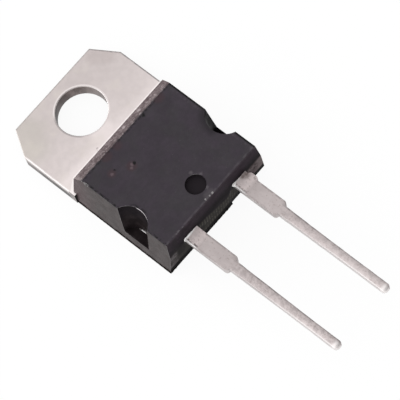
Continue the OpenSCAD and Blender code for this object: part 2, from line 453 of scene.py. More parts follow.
def pad_edges(s, colour):
    """Adds painted shade at the tab's shoulders and along the pad's edge, and a painted glint where a
    notch bares that edge.
    """
    # Painted shade in the crevice between the tab's shoulders and the body
    crevice = s.times(s.band(s.y, TAB_SHOULDER_Y, 0.05, 0.08), s.ramp(s.ny, -0.3, -0.7))
    # Painted shade along the pad's edge in the notches, and a painted glint where a notch bares it
    pad_edge = s.band(s.math("ABSOLUTE", s.x), PAD_EDGE_X - 0.03, 0.08, 0.05)
    pad_edge = s.times(pad_edge, s.ramp(s.y, -8.8, -9), upper_half(s))
    bared_glint = s.band(s.y, NOTCH_Y + 0.05, 0.17, 0.07)
    return s.coats(colour, [
        ((0.02, 0.018, 0.018), crevice),
        ((0.2, 0.18, 0.18), pad_edge),
        ((0.97, 0.95, 0.95), pad_edge, bared_glint),
    ])


def tab_tin():
    """Matte tin plate of the tab and the pad."""
    s = Shader("tin_plate_tab")
    colour = edge_highlights_and_shade(s, scratched_tab(s, tab_face(s)))
    colour = pad_edges(s, hole_wall(s, sheared_edges(s, colour)))
    return tin_surface(s, colour)


def lead_face(s, dipped, toward_tip, near, lumps, uneven):
    """Colour of the leads' plate: painted lighter by the body, mottled and flecked where the solder
    ran.
    """
    base = s.mix(s.ramp(s.y, -16.5, -18.5), (0.5, 0.445, 0.44), (0.57, 0.505, 0.5))
    blotch = s.ramp(s.noise(1.3, 8.2, 4.0, (1, 2.5, 1)), 0.35, 0.75)
    fleck = s.ramp(s.noise(0.17, 10.7, 2.0), 0.6, 0.68)
    amount = s.ramp(uneven, 0, 1, 0.12, 0.42)
    return s.coats(base, [
        (LEAD_LIGHT, blotch, 0.3),
        # Painted light by the body
        ((0.84, 0.745, 0.735), near, 0.9),
        (LEAD_LIGHT, toward_tip, 0.3),
        (LEAD_DARK, s.ramp(lumps, 0.42, 0.6), amount),
        ((0.25, 0.19, 0.17), fleck, s.ramp(dipped, 0, 1, 0.38, 0.32)),
    ])


def lead_edges(s, colour, across, dipped, toward_tip):
    """Adds painted light on the left sides, painted shade on the broken right edges, greyer stretches
    and bright tips.
    """
    colour = cut_edges(s, colour, (0.58, 0.53, 0.525))
    # Painted light on the left sides, and painted shade on the right edges
    lit = s.mix(toward_tip, (0.6, 0.555, 0.55), (0.68, 0.64, 0.635))
    broken = s.ramp(s.noise(0.4, 13.1, stretch=(1, 2, 1), rough=0.6), 0.4, 0.58, 0.2, 0.85)
    far_edge = s.times(s.ramp(across, 0.22, 0.3), s.ramp(s.nz, -0.2, 0.1))
    left_lead = s.ramp(s.x, 1, -1)
    grey_start = s.times(s.band(s.y, -18.9, 1.3, 0.7), s.ramp(across, 0.1, -0.1), left_lead)
    grey_edge = s.times(far_edge, s.ramp(s.y, -19.5, -20.5), left_lead)
    cap = s.times(s.ramp(s.y, LEAD_TIP_Y + 0.65, LEAD_TIP_Y + 0.35), s.ramp(s.nx, 0.3, 0.1))
    return s.coats(colour, [
        (lit, s.ramp(s.nx, -0.15, -0.6), s.ramp(s.y, -14.5, -17)),
        ((0.2, 0.18, 0.18), far_edge, dipped, broken),
        (LEAD_DARK, s.plus(s.times(grey_start, 0.22), s.times(grey_edge, 0.3))),
        ((0.92, 0.88, 0.87), cap, 0.7),
    ])


def lead_roots(s, colour, across, near):
    """Adds painted highlights on the rims and feet by the body, and a dark row of dots."""
    dots = s.ramp(s.noise(0.16, 6.2, 2.0), 0.44, 0.56)
    on_left = s.ramp(s.x, 1, -1, 0.6, 1)
    flat = s.ramp(s.nz, 0.8, 0.9)
    # Painted highlights on the rims and feet by the body
    rim = s.times(s.ramp(across, -0.55, -0.59), s.ramp(s.z, LEAD_TOP - 0.16, LEAD_TOP - 0.1), near)
    foot = s.times(s.ramp(s.y, LEAD_ROOT_Y - 0.12, LEAD_ROOT_Y - 0.07), s.ramp(s.nz, 0.5, 0.8))
    foot = s.times(foot, s.ramp(across, 0.3, -0.1, 0.3, 1), s.ramp(dots, 0, 1, 0.5, 1))
    bright = s.math("MAXIMUM", rim, s.times(foot, on_left))
    colour = s.over(colour, (1, 0.985, 0.98), bright)
    dark_row = s.times(s.band(across, -0.5, 0.03, 0.05), near, dots, flat, on_left)
    return s.over(colour, (0.07, 0.055, 0.055), dark_row, 0.85)


def lead_sides(s, colour, across):
    """Adds frayed edges, a duller stretch and painted shade by the body on the left sides, and a dark
    patch at the right lead's root.
    """
    cast = s.noise(0.25, 11.2)
    frayed = s.ramp(s.noise(0.3, 4.6), 0.4, 0.56)
    frayed = s.times(frayed, s.ramp(s.math("ABSOLUTE", across), 0.49, 0.55), s.ramp(s.nz, 0.1, 0.4))
    frayed = s.times(frayed, s.ramp(s.y, -13.2, -13.5), s.ramp(s.y, -17, -16.8))
    left_side = s.ramp(s.nx, -0.3, -0.7)
    dull_side = s.times(left_side, s.ramp(s.x, 1, 1.5), s.ramp(s.z, 2.55, 2.7))
    dull_side = s.times(dull_side, s.ramp(s.y, -14.8, -15.4), s.ramp(s.y, -17, -16.8))
    dull_side = s.times(dull_side, s.ramp(cast, 0.3, 0.7, 0.3, 0.6))
    # Painted shade low on the left sides, by the body
    shaded = s.times(left_side, s.ramp(s.z, 2.7, 2.5), s.ramp(s.y, -13.65, -13.4))
    # A dark patch at the right lead's root
    dark_root_patch = s.times(s.spots(((3.0, -12.85, 0.25),), 0.35), s.ramp(cast, 0.3, 0.7, 0.45, 0.95))
    return s.coats(colour, [
        ((0.2, 0.17, 0.165), frayed, s.ramp(across, -0.2, 0.2, 0.18, 0.5)),
        ((0.3, 0.265, 0.26), dull_side),
        ((0.035, 0.03, 0.03), shaded, 0.9),
        ((0.17, 0.12, 0.11), dark_root_patch),
    ])


def lead_tin():
    """Matte tin plate of the leads."""
    s = Shader("tin_plate_leads")
    dipped = s.ramp(s.y, -15.9, -17.2)
    toward_tip = s.ramp(s.y, DIP_START_Y, DIP_FULL_Y)
    near = s.ramp(s.y, LEAD_ROOT_Y - 1.3, LEAD_ROOT_Y - 0.8)
    lumps = s.noise(0.28, 3.9, stretch=(1, 1.3, 1), rough=0.62)
    uneven = s.times(dipped, s.ramp(s.x, -1, 1, 1, 0.6))
    across = s.math("SUBTRACT", s.math("ABSOLUTE", s.x), LEAD_X)
    across = s.times(across, s.math("SIGN", s.x))
    colour = lead_face(s, dipped, toward_tip, near, lumps, uneven)
    colour = lead_edges(s, colour, across, dipped, toward_tip)
    colour = lead_sides(s, lead_roots(s, colour, across, near), across)
    return tin_surface(s, colour, near, s.times(lumps, uneven))


def ridge_tin():
    """Ridge of plating at the leads' roots, near white and not metal as a painted highlight."""
    s = Shader("tin_plate_ridge")
    crumb = s.ramp(s.noise(0.14, 5.1, 2.0), 0.32, 0.45)
    return s.principled(
        # Painted highlight: near white and not metal
        Base_Color=s.mix(crumb, (0.5, 0.45, 0.44), (1, 0.99, 0.985)),
        Metallic=0.0,
        Roughness=s.ramp(crumb, 0, 1, 0.4, 0.55),
        Normal=s.bump(crumb, 0.004),
    )


# Moulding

EPOXY = (0.0385, 0.0305, 0.04)
EPOXY_SIDE = (0.029, 0.0175, 0.0175)
WORN = (0.21, 0.19, 0.2)
PALE = (0.42, 0.4, 0.4)


def compound_surface(s, colour, rough, shine, grain_height):
    """Closes a moulding material: the fine grain of a spark-eroded mould."""
    grain = s.noise(0.09, 2.2, rough=0.6)
    patch = s.noise(0.8, 6.1)
    return s.principled(
        Base_Color=colour,
        Roughness=s.ramp(patch, 0.3, 0.7, rough - 0.04, rough + 0.04),
        Specular_IOR_Level=shine,
        Normal=s.bump(grain, grain_height),
    )


def worn_rag(s):
    """Ragged pattern of the moulding's worn edges."""
    return s.ramp(s.noise(0.22, 15.1), 0.42, 0.56)


def worn_post(s, colour):
    """Adds the rubbed upright corner between the left side and the lead end."""
    post = s.times(s.ramp(s.nx, -0.06, -0.25), s.ramp(s.ny, -0.06, -0.25))
    return s.over(colour, PALE, post, s.ramp(worn_rag(s), 0, 1, 0.6, 0.3))


def front_edges(s, colour, on_top, rag):
    """Adds the front's rubbed and dark edges and its upright corner."""
    broken = s.ramp(s.noise(0.35, 3.7), 0.35, 0.65)
    lead_edge = s.band(s.y, FRONT_LEAD_EDGE_Y + 0.05, 0.06, 0.08)
    left_edge = s.ramp(s.x, -FRONT_SIDE_X + 0.19, -FRONT_SIDE_X + 0.09)
    tab_edge = s.ramp(s.y, FRONT_TAB_EDGE_Y - 0.22, FRONT_TAB_EDGE_Y - 0.1)
    colour = s.coats(colour, [
        (WORN, on_top, lead_edge, broken, 0.14),
        (shade(EPOXY, 0.08), on_top, left_edge, rag, 0.9),
        (shade(EPOXY, 0.08), on_top, tab_edge, rag, 0.6),
    ])
    colour = worn_post(s, colour)
    right_edge = s.ramp(s.x, FRONT_SIDE_X - 0.17, FRONT_SIDE_X - 0.1)
    colour = s.over(colour, shade(EPOXY, 0.05), on_top, right_edge)
    frayed = s.times(s.band(s.x, FRONT_SIDE_X - 0.28, 0.05, 0.08), rag, broken)
    return s.over(colour, WORN, on_top, frayed, 0.12)


def front_scuffs(s, colour, on_top):
    """Adds scuffs and dents along the lead edge, a chipped corner and three faint halos."""
    scuffs = s.spots(((-0.43, -12.58, 0.02), (-0.04, -12.62, 0.01), (0.24, -12.63, 0.05)), 0.07)
    glow = s.spots(((-0.1, -12.5, 0.12), (0.2, -12.45, 0.08)), 0.3)
    dents = s.spots(((-3.3, -12.68, 0.04), (-3.5, -12.7, 0.02), (-2.9, -12.7, 0.01)), 0.14)
    corner = s.times(s.band(s.x, -FRONT_SIDE_X, 0.05, 0.05), s.band(s.y, -5.2, 0.25, 0.1))
    chips = s.ramp(s.noise(0.2, 1.3, 2.0), 0.38, 0.6)
    halo = s.spots(((0.31, -12.08, 0.04), (0.8, -11.1, 0.03), (0.45, -10.5, 0.04)), 0.16)
    return s.coats(colour, [
        (PALE, on_top, scuffs, 0.6),
        (WORN, on_top, glow, 0.14),
        (WORN, on_top, dents, 0.3),
        (PALE, corner, chips, 0.75),
        (WORN, halo, 0.25),
    ])


def front_scars(s, colour, on_top):
    """Adds stains, two old scars and three pits."""
    stain = s.spots(((-2.93, -6.22, 0.15), (-1.68, -6.95, 0.22), (-2.37, -5.11, 0.1)), 0.3)
    edge_stain = s.spots(((-1.15, -5.15, 0.15), (-2.2, -5.1, 0.2), (3.3, -5.0, 0.25)), 0.35)
    stain = s.math("MAXIMUM", stain, edge_stain)
    scars = s.spots(((-2.96, -6.27, 0.05), (-1.57, -6.88, 0.06), (-1.78, -7.03, 0.04)), 0.12)
    pits = s.spots(((-1.39, -6.94, 0.06), (-2.6, -6.2, 0.01), (1.68, -5.08, 0.06)), 0.12)
    return s.coats(colour, [
        ((0.05, 0.026, 0.031), on_top, stain, 0.55),
        ((0.24, 0.175, 0.195), on_top, scars, 0.27),
        (shade(EPOXY, 0.05), on_top, pits),
    ])


def notch_rounds(s, colour, rag):
    """Adds painted shade round the right notch and a ragged dark line round the left one."""
    right_notch = s.reach((NOTCH_X, NOTCH_Y))
    # Painted shade round the right notch
    round_right = s.times(s.ramp(right_notch, 2.15, 1.5), s.ramp(s.y, -10.2, -9.6))
    colour = s.over(colour, shade(EPOXY, 0.3), round_right, 0.75)
    left_notch = s.reach((-NOTCH_X, NOTCH_Y))
    round_left = s.times(s.ramp(left_notch, 1.75, 1.6), s.ramp(s.y, -10.3, -10))
    return s.over(colour, shade(EPOXY, 0.1), round_left, s.ramp(s.y, -8.6, -9), rag, 0.7)


def wear_and_shade_on_front(s, colour):
    """Adds wear, scars and moulding marks to the front, and painted shade round the right notch."""
    on_top = s.ramp(s.z, BODY_TOP - 0.09, BODY_TOP - 0.03)
    rag = worn_rag(s)
    colour = front_edges(s, colour, on_top, rag)
    colour = front_scars(s, front_scuffs(s, colour, on_top), on_top)
    return notch_rounds(s, colour, rag)


def compound():
    """Black compound of the front and of the back."""
    s = Shader("moulding_compound")
    cloud = s.ramp(s.noise(1.3, 5.3, 4.0), 0.3, 0.7)
    tint = s.ramp(s.noise(0.9, 11.8), 0.4, 0.6)
    patch = s.ramp(s.noise(2.1, 3.3), 0.4, 0.6)
    fine = s.ramp(s.noise(0.3, 7.9), 0.35, 0.65)
    speck = s.ramp(s.noise(0.16, 9.4, 1.0), 0.74, 0.8)
    front = s.coats(s.mix(cloud, shade(EPOXY, 0.85), shade(EPOXY, 1.15)), [
        ((0.036, 0.0335, 0.036), tint, 0.5),
        ((0.0395, 0.0295, 0.0415), patch, 0.4),
        (shade(EPOXY, 0.7), fine, 0.3),
        (WORN, speck, 0.12),
    ])
    return compound_surface(s, wear_and_shade_on_front(s, front), 0.5, 0.2, 0.012)


def side_compound():
    """Compound of the long sides, browner towards the tab."""
    s = Shader("moulding_compound_side")
    cloud = s.ramp(s.noise(0.9, 5.3, 4.0), 0.3, 0.7)
    fine = s.ramp(s.noise(0.2, 9.1), 0.35, 0.65)
    colour = s.mix(cloud, shade(EPOXY_SIDE, 0.8), shade(EPOXY_SIDE, 1.2))
    rag = s.ramp(s.noise(0.2, 3.2), 0.42, 0.56)
    under_front = s.ramp(s.z, BODY_TOP - 0.28, BODY_TOP - 0.14)
    speck = s.ramp(s.noise(0.16, 13.7, 2.0), 0.64, 0.7)
    wear_and_sheen = s.ramp(s.z, 1.1, 0.9)
    wear_and_sheen = s.math("MAXIMUM", s.times(wear_and_sheen, s.ramp(s.z, 0.35, 0.5)), under_front)
    chipped = s.times(s.ramp(s.z, BODY_TOP - 0.2, BODY_TOP - 0.12), s.band(s.y, -5.2, 0.25, 0.1))
    chips = s.ramp(s.noise(0.2, 1.3, 2.0), 0.4, 0.6)
    colour = s.coats(colour, [
        (shade(EPOXY_SIDE, 0.5), fine, 0.35),
        ((0.066, 0.038, 0.042), s.ramp(s.y, -6.2, -4.2), 0.7),
        (shade(EPOXY_SIDE, 0.1), under_front, rag, 0.8),
        ((0.16, 0.12, 0.12), speck, wear_and_sheen, 0.4),
        (PALE, chipped, chips, s.ramp(s.nx, 0, -0.5), 0.7),
    ])
    return compound_surface(s, worn_post(s, colour), 0.5, 0.29, 0.012)


def bevel_compound():
    """Compound of the bevel, flecked, dented and painted lighter as lit, and of the face at the tab."""
    s = Shader("moulding_compound_bevel")
    patch = s.ramp(s.noise(0.5, 7.3, 4.0, rough=0.6), 0.35, 0.65)
    fine = s.ramp(s.noise(0.19, 2.7, 2.0, rough=0.6), 0.4, 0.6)
    fleck = s.ramp(s.noise(0.15, 14.9, 1.0), 0.64, 0.7)
    plain = s.mix(patch, (0.05, 0.036, 0.038), (0.064, 0.048, 0.05))
    plain = s.over(plain, (0.036, 0.026, 0.028), fine, 0.3)
    # Painted light: the bevel's compound several times lighter than the front's
    colour = s.mix(patch, (0.1, 0.07, 0.073), (0.2, 0.158, 0.162))
    left_end = s.ramp(s.x, -4.3, -4.62)
    dents = s.spots(((1.64, -4.84, 0.07), (1.86, -4.4, 0.08), (0.24, -4.4, 0.08)), 0.1)
    ragged = s.ramp(s.noise(0.3, 4.8), 0.42, 0.56)
    near_front = s.ramp(s.z, BODY_TOP - 0.14, BODY_TOP - 0.03)
    colour = s.coats(colour, [
        ((0.05, 0.03, 0.034), fine, 0.65),
        ((0.45, 0.38, 0.39), fleck, 0.5),
        ((0.3, 0.25, 0.25), left_end, 0.5),
        ((0.4, 0.34, 0.35), dents, 0.6),
        (shade(EPOXY, 0.4), ragged, near_front, 0.8),
        (plain, s.ramp(s.z, BEVEL_FOOT_Z, BEVEL_FOOT_Z - 0.12)),
    ])
    return compound_surface(s, colour, 0.5, 0.2, 0.015)


def tool_marks(s):
    """Upright ribs below the parting line, one on their crests and faint along a wavy line."""
    bent = s.times(s.noise(0.9, 9.7, 2.0), 3)
    ribs = s.ramp(s.math("SINE", s.plus(s.times(s.x, 2 * math.pi / RIB_PITCH), bent)), -0.3, 0.9)
    ribs = s.times(ribs, s.ramp(s.noise(0.6, 2.5, 2.0), 0.35, 0.6, 0.2, 1))
    ribs = s.times(ribs, s.ramp(s.math("ABSOLUTE", s.x), 2, 1.8))
    wavy = s.plus(s.z, s.times(bent, 0.1), -0.15)
    return s.times(ribs, s.ramp(s.band(wavy, 1.5, 0.06, 0.16), 0, 1, 1, 0.1))


def lead_end_upper(s):
    """Colour of the lead end above the parting line."""
    smudge = s.ramp(s.noise(0.55, 8.4, 4.0, rough=0.6), 0.38, 0.62)
    upper = s.mix(s.ramp(s.z, 2.9, 3.9), (0.015, 0.0125, 0.0145), (0.041, 0.031, 0.0395))
    upper = s.over(upper, (0.058, 0.045, 0.055), s.ramp(s.z, 4.15, 4.4))
    return s.over(upper, (0.022, 0.019, 0.021), smudge, s.ramp(s.x, -1, -3, 0.25, 0.7))


def lead_end_lower(s, right):
    """Colour of the lead end below the parting line: ribs, rough ends and dark strips beside the left
    lead.
    """
    cast = s.ramp(s.noise(0.2, 5.9), 0.35, 0.65)
    lower = s.mix(s.times(tool_marks(s), 0.7), (0.034, 0.0315, 0.0285), (0.11, 0.1, 0.087))
    lower = s.over(lower, (0.028, 0.0262, 0.0238), cast, 0.5)
    left = s.times(s.ramp(s.x, -3.8, -4.45), s.ramp(s.band(s.z, 1.6, 0.25, 0.25), 0, 1, 1, 0.6))
    rough_right = s.mix(cast, (0.15, 0.12, 0.122), (0.055, 0.04, 0.042))
    rough_right = s.over(rough_right, (0.2, 0.165, 0.168), s.ramp(s.x, 4, 4.6, 0, 0.6))
    lower = s.over(lower, rough_right, right)
    lower = s.over(lower, (0.115, 0.103, 0.107), left, s.ramp(cast, 0, 1, 0.95, 0.4))
    dark_strips = s.times(s.band(s.x, -3.65, 0.25, 0.3), s.ramp(s.z, 1.2, 1.7))
    beside_lead = s.times(s.band(s.x, -1.65, 0.2, 0.25), s.band(s.z, 1.7, 0.3, 0.2))
    dark_strips = s.math("MAXIMUM", dark_strips, beside_lead)
    return s.over(lower, (0.014, 0.0125, 0.0125), dark_strips, 0.8)


def lead_end_compound():
    """Dull compound of the lead end, with tool marks below the parting line and painted shade, near
    black, at its foot.
    """
    s = Shader("moulding_compound_lead_end")
    right = s.ramp(s.x, 2.6, 3.4)
    shift = s.plus(s.ramp(s.x, -1.6, 1.1, 0.4, -0.35), s.ramp(s.x, 1.1, 1.7, 0, 0.4))
    shift = s.plus(shift, s.times(right, 0.32), s.ramp(s.x, -3, -4.2, 0, -0.1))
    height = s.plus(s.z, s.times(shift, -1))
    below = s.ramp(height, PARTING_Z - 0.15, PARTING_Z - 0.5)
    colour = s.mix(below, lead_end_upper(s), lead_end_lower(s, right))
    fleck = s.ramp(s.noise(0.17, 12.7, 2.0), 0.5, 0.62)
    flecked = s.times(s.band(s.x, -4.38, 0.15, 0.2), s.band(s.z, 2.2, 0.2, 0.25), fleck)
    colour = s.over(colour, WORN, flecked, 0.7)
    # Painted shade: near black at the foot, by the floor
    colour = s.over(colour, (0.003, 0.0026, 0.0026), s.ramp(s.z, 0.86, 0.62))
    return compound_surface(s, worn_post(s, colour), 0.55, 0.012, 0.01)


def smooth_compound():
    """Smooth compound that the mould's pins left in the notches and in the round mark, near black in
    the notches as painted shade, with a painted glint on the left notch's rim.
    """
    s = Shader("moulding_compound_pin")
    cloud = s.ramp(s.noise(0.7, 4.1), 0.3, 0.7)
    # Painted shade: the notches near black
    colour = s.mix(cloud, (0.009, 0.007, 0.009), (0.016, 0.0125, 0.0145))
    deep = s.mix(cloud, (0.011, 0.0085, 0.009), (0.024, 0.0185, 0.0195))
    # Painted glint on the left notch's upper rim
    arc = s.times(s.ramp(s.x, -4.25, -3.95), s.ramp(s.y, -9.15, -9.35), s.ramp(s.x, -2, -3))
    rim = s.times(s.ramp(s.z, BODY_TOP - 0.17, BODY_TOP - 0.1), arc)
    colour = s.coats(colour, [
        (deep, s.ramp(s.z, 3.9, 2.4)),
        # Painted shade: the right notch blacker still
        ((0.004, 0.0033, 0.004), s.ramp(s.x, 2, 3)),
        ((0.021, 0.0175, 0.0205), s.ramp(s.reach((0, MARK_Y)), 1.2, 1)),
        ((0.6, 0.56, 0.58), rim),
    ])
    return compound_surface(s, colour, 0.4, 0.008, 0.003)


def flash_compound():
    """Dull compound of the thin flash along the mould's edges, near black as painted shade along the
    foot.
    """
    s = Shader("moulding_flash")
    crumb = s.ramp(s.noise(0.15, 3.4), 0.35, 0.65)
    colour = s.mix(crumb, (0.002, 0.0015, 0.0015), (0.016, 0.013, 0.012))
    left_lip = s.times(s.ramp(s.z, 0.07, 0.03), s.ramp(s.y, -12.5, -12.4))
    colour = s.over(colour, (0.09, 0.075, 0.07), left_lip)
    return compound_surface(s, colour, 0.6, 0.012, 0.01)


# Pieces sealed in the moulding

def silicon():
    """Polished chip with its metal face and a fine saw-cut edge."""
    s = Shader("silicon_chip")
    metal_face = s.ramp(s.nz, 0.7, 0.9)
    saw = s.noise(0.02, 2.8, 2.0, (6, 6, 1))
    cut = s.mix(saw, (0.05, 0.05, 0.06), (0.12, 0.12, 0.14))
    grain = s.noise(0.06, 3.3, 2.0)
    face = s.mix(grain, (0.6, 0.6, 0.6), (0.75, 0.75, 0.74))
    return s.principled(
        Base_Color=s.mix(metal_face, cut, face),
        Metallic=1.0,
        Roughness=s.ramp(grain, 0.3, 0.7, 0.2, 0.32),
        Normal=s.bump(saw, 0.001),
    )


def solder():
    """Dull grey solder with a frosty grain."""
    s = Shader("die_solder")
    frost = s.noise(0.08, 6.6, 4.0)
    return s.principled(
        Base_Color=s.mix(frost, (0.32, 0.32, 0.34), (0.5, 0.5, 0.52)),
        Metallic=1.0,
        Roughness=s.ramp(frost, 0.3, 0.7, 0.4, 0.6),
        Normal=s.bump(frost, 0.004),
    )


def bond_wire():
    """Drawn aluminium wire."""
    s = Shader("aluminium_wire")
    drawn = s.noise(0.03, 5.2, 2.0, (1, 8, 8))
    return s.principled(
        Base_Color=s.mix(drawn, (0.66, 0.66, 0.67), (0.8, 0.8, 0.81)),
        Metallic=1.0,
        Roughness=s.ramp(drawn, 0.3, 0.7, 0.25, 0.38),
        Normal=s.bump(drawn, 0.001),
    )


TAB_TIN = tab_tin()
LEAD_TIN = lead_tin()
RIDGE_TIN = ridge_tin()
COMPOUND = compound()
SIDE = side_compound()
BEVEL = bevel_compound()
LEAD_END = lead_end_compound()
SMOOTH = smooth_compound()
FLASH = flash_compound()


# Skins: rounded copies of the nodes

def tab_region(centre, normal):
    """The cathode frame's lead has the leads' plate, and the rest has the tab's."""
    return 1 if centre.y < LEAD_ROOT_Y else 0


def lead_region(centre, normal):
    """The anode lead has one material."""
    return 0


def in_notch(centre):
    """True on the wall and the floor of a side notch."""
    side_x = BACK_SIDE_X + (FRONT_SIDE_X - BACK_SIDE_X) * centre.z / BODY_TOP
    off = math.hypot(abs(centre.x) - NOTCH_X, centre.y - NOTCH_Y)
    return off < NOTCH_R - SLACK and abs(centre.x) < side_x - NOTCH_SLACK


def in_mark(centre):
    """True on the wall and the floor of the round mark."""
    off = math.hypot(centre.x, centre.y - MARK_Y)
    return off < MARK_R + SLACK / 2 and centre.z < BODY_TOP - SLACK


def on_mark_rim(place):
    """True on the upper edge of the round mark."""
    off = math.hypot(place.x, place.y - MARK_Y) - MARK_R
    return abs(off) < SLACK and place.z > BODY_TOP - SLACK


# Materials of the body, in the order of their places in its list
MOULDING = [COMPOUND, BEVEL, LEAD_END, SMOOTH, SIDE]
FACES, TAB_END, LEADS_END, PIN_MARKS, LONG_SIDES = range(len(MOULDING))


def body_region(centre, normal):
    """Place of a face's material in the body's list."""
    if in_notch(centre) or in_mark(centre):
        return PIN_MARKS
    if normal.y > TAB_END_NORMAL_Y and centre.y > FRONT_TAB_EDGE_Y - 0.05:
        return TAB_END
    if normal.y < LEAD_END_NORMAL_Y and centre.y < FRONT_LEAD_EDGE_Y + 0.2:
        return LEADS_END
    if abs(normal.x) > LONG_SIDE_NORMAL_X:
        return LONG_SIDES
    return FACES


def cleaned_mesh(node):
    """Node's mesh with its seams merged and its flat triangles joined."""
    mesh = bmesh.new()
    mesh.from_mesh(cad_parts[node].data)
    bmesh.ops.remove_doubles(mesh, verts=mesh.verts, dist=SEAM_GAP)
    bmesh.ops.dissolve_limit(mesh, angle_limit=FLAT_ANGLE, verts=mesh.verts, edges=mesh.edges)
    return mesh


def tree_of(nodes):
    """Search tree over the surfaces of several nodes."""
    joined = bmesh.new()
    for node in nodes:
        joined.from_mesh(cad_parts[node].data)
    tree = BVHTree.FromBMesh(joined)
    joined.free()
    return tree


def on_pad_edge(edge):
    """True for an edge along the top of the pad, which the side notches lay bare."""
    return all(
        abs(abs(vert.co.x) / MM - PAD_EDGE_X) < SLACK and abs(vert.co.z / MM - TAB_TOP) < SLACK
        for vert in edge.verts
    )


def round_edges(mesh, node, width):
    """Rounds the sharp edges between faces that no other node covers, and the pad's top edges."""
    others = tree_of([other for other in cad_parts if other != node])

    def is_open(face):
        """True for a face that no other node covers."""
        return others.find_nearest(face.calc_center_median(), TOUCHING)[0] is None

    edges = [
        edge for edge in mesh.edges
        if edge.calc_face_angle(0) > SHARP_ANGLE
        and (all(is_open(face) for face in edge.link_faces) or on_pad_edge(edge))
    ]
    fine = [edge for edge in edges if all(on_mark_rim(vert.co / MM) for vert in edge.verts)]
    rest = [edge for edge in edges if edge not in fine]
    for group, offset in ((fine, MARK_ROUND), (rest, width)):
        bmesh.ops.bevel(
            mesh, geom=[edge for edge in group if edge.is_valid], offset=offset,
            segments=ROUND_STEPS, profile=0.5, affect="EDGES", clamp_overlap=True,
        )
    bmesh.ops.dissolve_degenerate(mesh, dist=NO_LENGTH, edges=mesh.edges)


def dipped_sections(tip_y):
    """Place, half width, half thickness and corner rounding of a dipped lead's sections."""
    shank_end = tip_y + TIP_CAP
    sharp = TAB_ROUND / MM
    sections = []
    for i in range(1, DIP_STEPS + 1):
        y = DIP_START_Y + (shank_end - DIP_START_Y) * i / DIP_STEPS
        grown = min(1, (DIP_START_Y - y) / (DIP_START_Y - DIP_FULL_Y))
        corner = sharp + (DIP_CORNER - sharp) * grown * grown * (3 - 2 * grown)
        sections.append((y, LEAD_HALF_W, LEAD_HALF_T, corner))
    for i in range(1, TIP_STEPS + 1):
        turn = TIP_TURN * i / TIP_STEPS
        shrink = 1 - math.cos(turn)
        half_w = LEAD_HALF_W - TIP_NARROWER * shrink
        half_t = LEAD_HALF_T - TIP_THINNER * shrink
        corner = min(DIP_CORNER, half_w, half_t) * TIP_CORNER_SHARE
        sections.append((shank_end - TIP_CAP * math.sin(turn), half_w, half_t, corner))
    return sections


def corner_of(vert, lead_x):
    """Quarter of the lead's section that a vertex is in, and its angle round that corner."""
    dx = vert.co.x / MM - lead_x
    dz = vert.co.z / MM - LEAD_MID_Z
    sharp = TAB_ROUND / MM
    over_x = max(abs(dx) - (LEAD_HALF_W - sharp), 0)
    over_z = max(abs(dz) - (LEAD_HALF_T - sharp), 0)
    return math.copysign(1, dx), math.copysign(1, dz), math.atan2(over_z, over_x)


def join_rings(mesh, ring, further):
    """Band of faces between two rings of as many vertices."""
    for i, vert in enumerate(ring):
        j = (i + 1) % len(ring)
        mesh.faces.new((vert, ring[j], further[j], further[i]))


def join_rows(mesh, rows):
    """Closed strip of faces through rows of vertices, with a face at each end."""
    for row, following in zip(rows, rows[1:]):
        join_rings(mesh, row, following)
    mesh.faces.new(rows[0])
    mesh.faces.new(rows[-1])


def dip_lead(mesh, lead_x, tip_y):
    """Replaces the end of a lead by one whose edges the solder rounded off."""
    everything = mesh.verts[:] + mesh.edges[:] + mesh.faces[:]
    bmesh.ops.bisect_plane(
        mesh, geom=everything, plane_co=(0, DIP_START_Y * MM, 0), plane_no=(0, -1, 0),
        clear_outer=True,
    )
    ring = [vert for vert in mesh.verts if abs(vert.co.y / MM - DIP_START_Y) < SLACK / 10]
    ring.sort(key=lambda vert: math.atan2(vert.co.z / MM - LEAD_MID_Z, vert.co.x / MM - lead_x))
    corners = [corner_of(vert, lead_x) for vert in ring]
    for y, half_w, half_t, round_r in dipped_sections(tip_y):
        further = []
        for side, top, angle in corners:
            level = noise.noise(Vector((side + lead_x, y * DIP_WAVE_PITCH, top)))
            wave = DIP_WAVE * 0.5 * (level - 1)
            wave *= min(1, (DIP_START_Y - y) / DIP_WAVE_GROWS)
            out = half_w + wave - round_r * (1 - math.cos(angle))
            up = half_t + wave - round_r * (1 - math.sin(angle))
            place = Vector((lead_x + side * out, y, LEAD_MID_Z + top * up))
            further.append(mesh.verts.new(place * MM))
        join_rings(mesh, ring, further)
        ring = further
    mesh.faces.new(ring)


def chip_lead_end(mesh):
    """Sets back the lower edge of the lead end, to the right of where its flash broke off."""
    near = [face for face in mesh.faces if all(v.co.y / MM < CHIPPED_FACES_Y for v in face.verts)]
    parts = dict.fromkeys(near)
    for face in near:
        parts.update(dict.fromkeys([*face.verts, *face.edges]))
    for x in (CHIPPED_FROM_X, CHIPPED_FROM_X + CHIPPED_STEP):
        cut = bmesh.ops.bisect_plane(
            mesh, geom=list(parts), plane_co=(x * MM, 0, 0), plane_no=(1, 0, 0)
        )
        parts.update(dict.fromkeys(cut["geom"]))
        parts = {part: None for part in parts if part.is_valid}
    for vert in mesh.verts:
        low = vert.co.z / MM < CHIPPED_HIGH and vert.co.y / MM < CHIPPED_Y
        if low and vert.co.x / MM > CHIPPED_FROM_X + CHIPPED_STEP / 2:
            vert.co.y += CHIPPED_IN * MM


def order_faces(mesh):
    """Orders the faces by their vertices, because bevels and cuts shuffle them in each run."""
    mesh.verts.index_update()
    ordered = sorted(mesh.faces, key=lambda face: [vert.index for vert in face.verts])
    places = {face: place for place, face in enumerate(ordered)}
    mesh.faces.sort(key=places.get)


def add_object(name, data):
    """New object of some data, in the scene."""
    thing = bpy.data.objects.new(name, data)
    bpy.context.scene.collection.objects.link(thing)
    return thing


